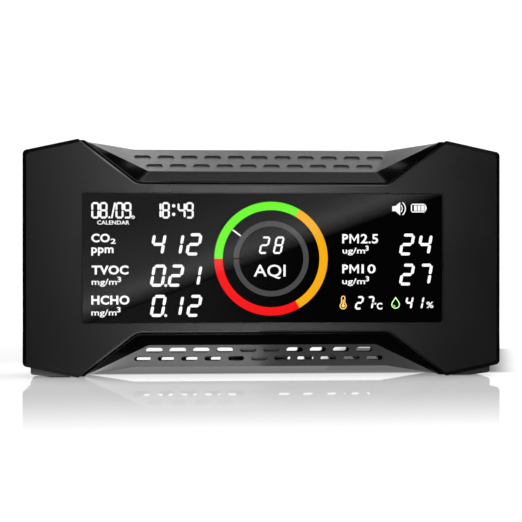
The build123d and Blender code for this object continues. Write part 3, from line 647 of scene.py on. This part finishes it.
floorLook = {"near": -0.50, "reach": 6.0, "drop": -0.05 * millimetre, "roughness": 0.9, "albedo": 0.42,
             "glow": (0.47, 1.05), "glowReach": (0.16, 0.6), "frontGlow": 0.03, "front": (-0.05, 0.02)}
floorPolish = {"share": 0.45, "roughness": 0.03, "from": (-0.32, -0.08), "until": (0.03, 0.12), "facing": (0.5, 0.84)}
# painted shadows: middle, half size, fade, turn about the vertical and darkness
floorShades = [((0.0, 0.037), (0.086, 0.024), 0.014, 0.0, 0.8),
               ((0.0905, 0.12), (0.036, 0.10), 0.018, 12.3, 0.84)]


def shadeMask(tree, position, centre, half, fade, turn, darkness):
    # one away from a turned box on the floor, falling to one less darkness inside it
    local = addNode(tree, "ShaderNodeMapping", vector_type="TEXTURE")
    local.inputs["Location"].default_value = (*centre, 0)
    local.inputs["Rotation"].default_value = (0, 0, -radians(turn))
    link(tree, position, local.inputs["Vector"])
    beyond = vectorStep(tree, "SUBTRACT", vectorStep(tree, "ABSOLUTE", local.outputs["Vector"]), (*half, 1))
    away = vectorStep(tree, "LENGTH", vectorStep(tree, "MAXIMUM", beyond))
    return easedMap(tree, away, 0.0, fade, 1.0 - darkness, 1.0)


def floorMaterial():
    # lit near the object and plain white further off, with a polish that fades to the front and back
    # and shows only at a low angle; the front is dark for all rays but the camera's, like a black flag
    material, tree, shader = newMaterial("paleFloor")
    shader.inputs["Roughness"].default_value = floorLook["roughness"]
    shader.inputs["Specular IOR Level"].default_value = 0.0
    shader.inputs["Emission Color"].default_value = (1, 1, 1, 1)
    place = addNode(tree, "ShaderNodeTexCoord")
    spot = axesOf(tree, place, "Object")
    far = vectorStep(tree, "LENGTH", place.outputs["Object"])
    glow = easedMap(tree, far, *floorLook["glowReach"], *floorLook["glow"])
    light = None
    for centre, half, fade, turn, darkness in floorShades:
        lit = shadeMask(tree, place.outputs["Object"], centre, half, fade, turn, darkness)
        light = joined(tree, "MINIMUM", light, lit) if light else lit
    ray = addNode(tree, "ShaderNodeLightPath")
    flagged = easedMap(tree, spot["Y"], *floorLook["front"], floorLook["frontGlow"], 1.0)
    light = joined(tree, "MULTIPLY", light, joined(tree, "MAXIMUM", flagged, ray.outputs["Is Camera Ray"]))
    link(tree, joined(tree, "MULTIPLY", glow, light), shader.inputs["Emission Strength"])
    link(tree, tinted(tree, light, (0, 0, 0), [floorLook["albedo"]] * 3), shader.inputs["Base Color"])
    mirror = addNode(tree, "ShaderNodeBsdfGlossy", Roughness=floorPolish["roughness"])
    link(tree, tinted(tree, light, (0, 0, 0), (1, 1, 1)), mirror.inputs["Color"])
    share = easedMap(tree, spot["Y"], *floorPolish["from"], 0.0, floorPolish["share"])
    beside = easedMap(tree, spot["Y"], *floorPolish["until"], 1.0, 0.0)
    facing = addNode(tree, "ShaderNodeLayerWeight", Blend=0.5).outputs["Facing"]
    beside = joined(tree, "MULTIPLY", beside, easedMap(tree, facing, *floorPolish["facing"], 0.0, 1.0))
    layered(tree, joined(tree, "MULTIPLY", share, beside), shader, mirror)
    return material


glareLook = {"low": (-0.0765, -0.0283), "high": (0.080, 0.0282), "spread": 0.036, "half": (0.085, 0.030),
             "above": ((0.0, 4.3), (0.2, 2.0), (0.42, 1.05), (1.0, 0.55)),
             "below": 0.3, "belowReach": (-0.045, 0.026)}


def cardPoint(x, z):
    # the card stands level with the camera, so each point of the window mirrors a point twice as far out
    return Vector((2 * x - eye.x, 0, 2 * z))


def glareMaterial():
    # a wide soft card that the window mirrors: brightest along a slanting edge, faint below it
    material, tree = newMaterial("glareCard")[:2]
    low, high = cardPoint(*glareLook["low"]), cardPoint(*glareLook["high"])
    run = (high - low).normalized()
    across = Vector((-run.z, 0, run.x))
    place = addNode(tree, "ShaderNodeTexCoord")
    height = vectorStep(tree, "DOT_PRODUCT", vectorStep(tree, "SUBTRACT", place.outputs["Object"], low), across)
    ramp = addNode(tree, "ShaderNodeValToRGB")
    stops = glareLook["above"]
    peak = stops[0][1]
    ramp.color_ramp.elements.remove(ramp.color_ramp.elements[1])
    for at, strength in stops[1:]:
        ramp.color_ramp.elements.new(at).color = (*[strength / peak] * 3, 1)
    link(tree, mapped(tree, height, 0.0, 1.0, 0.0, 2 * glareLook["spread"]), ramp.inputs["Fac"])
    belowFrom, belowTo = [cardPoint(x, 0).x for x in glareLook["belowReach"]]
    faint = easedMap(tree, axesOf(tree, place, "Object")["X"], belowFrom, belowTo, glareLook["below"] / peak, 0.0)
    pick = addNode(tree, "ShaderNodeMix", data_type="FLOAT")
    link(tree, joined(tree, "GREATER_THAN", height, 0.0), pick.inputs[0])
    link(tree, faint, pick.inputs[2])
    link(tree, ramp.outputs["Color"], pick.inputs[3])
    glow = addNode(tree, "ShaderNodeEmission")
    link(tree, joined(tree, "MULTIPLY", pick.outputs[0], peak), glow.inputs["Strength"])
    link(tree, glow.outputs[0], tree.nodes["Material Output"].inputs["Surface"])
    return material


def addStage():
    near, reach, drop = floorLook["near"], floorLook["reach"], floorLook["drop"]
    stagedPlane("floor", [(-reach, near, drop), (reach, near, drop), (reach, reach, drop), (-reach, reach, drop)],
                floorMaterial())
    wide, tall = glareLook["half"]
    corners = [cardPoint(x, z) for x, z in ((-wide, -tall), (wide, -tall), (wide, tall), (-wide, tall))]
    card = stagedPlane("glareCard", corners, glareMaterial())
    card.location = (0, eye.y, middle.z)
    card.visible_camera = False


worldLook = {"front": 0.02, "behind": 1.08, "turn": (0.15, 0.6)}


def addWorld():
    # plain white to the camera and behind the object, dark in front of it
    world = bpy.data.worlds.new("studio")
    scene.world = world
    world.use_nodes = True
    tree = world.node_tree
    ray, place = addNode(tree, "ShaderNodeLightPath"), addNode(tree, "ShaderNodeTexCoord")
    spot = axesOf(tree, place, "Generated")
    behind = easedMap(tree, spot["Y"], *worldLook["turn"], worldLook["front"], worldLook["behind"])
    seen = joined(tree, "MAXIMUM", behind, ray.outputs["Is Camera Ray"])
    background = tree.nodes["Background"]
    background.inputs["Color"].default_value = (1, 1, 1, 1)
    link(tree, seen, background.inputs["Strength"])


addStage()
addWorld()
lampSpecs = {
    "topLamp": {"location": (0.34, 0.05, 0.80), "size": (0.6, 0.6), "power": 6.0},
    "nearTopLamp": {"location": (-0.09, 0.0, 0.215), "size": (0.05, 0.1), "power": 0.21,
                    "aim": (-0.06, -0.004, 0.09)},
    "bandLamp": {"location": (0.06, -0.70, 0.66), "size": (0.36, 0.12), "power": 2.6},
    "upperFrontLamp": {"location": (0.05, eye.y, middle.z + 0.105), "size": (0.12, 0.07), "power": 1.3},
    "lowerFrontLamp": {"location": (0.024, -0.45, 0.0026), "size": (0.12, 0.004), "power": 0.2,
                       "aim": (0.024, 0, 0.0026)},
    "bounceLamp": {"location": (-0.055, -0.014, 0.0004), "size": (0.11, 0.02), "power": 0.011,
                   "aim": (-0.055, -0.014, 1.0)},
}
for name, lamp in lampSpecs.items():
    areaLamp(name, lamp["location"], lamp.get("aim", (0, 0, middle.z)), lamp["size"], lamp["power"])
scene.view_settings.view_transform = "Standard"
print("studio set")
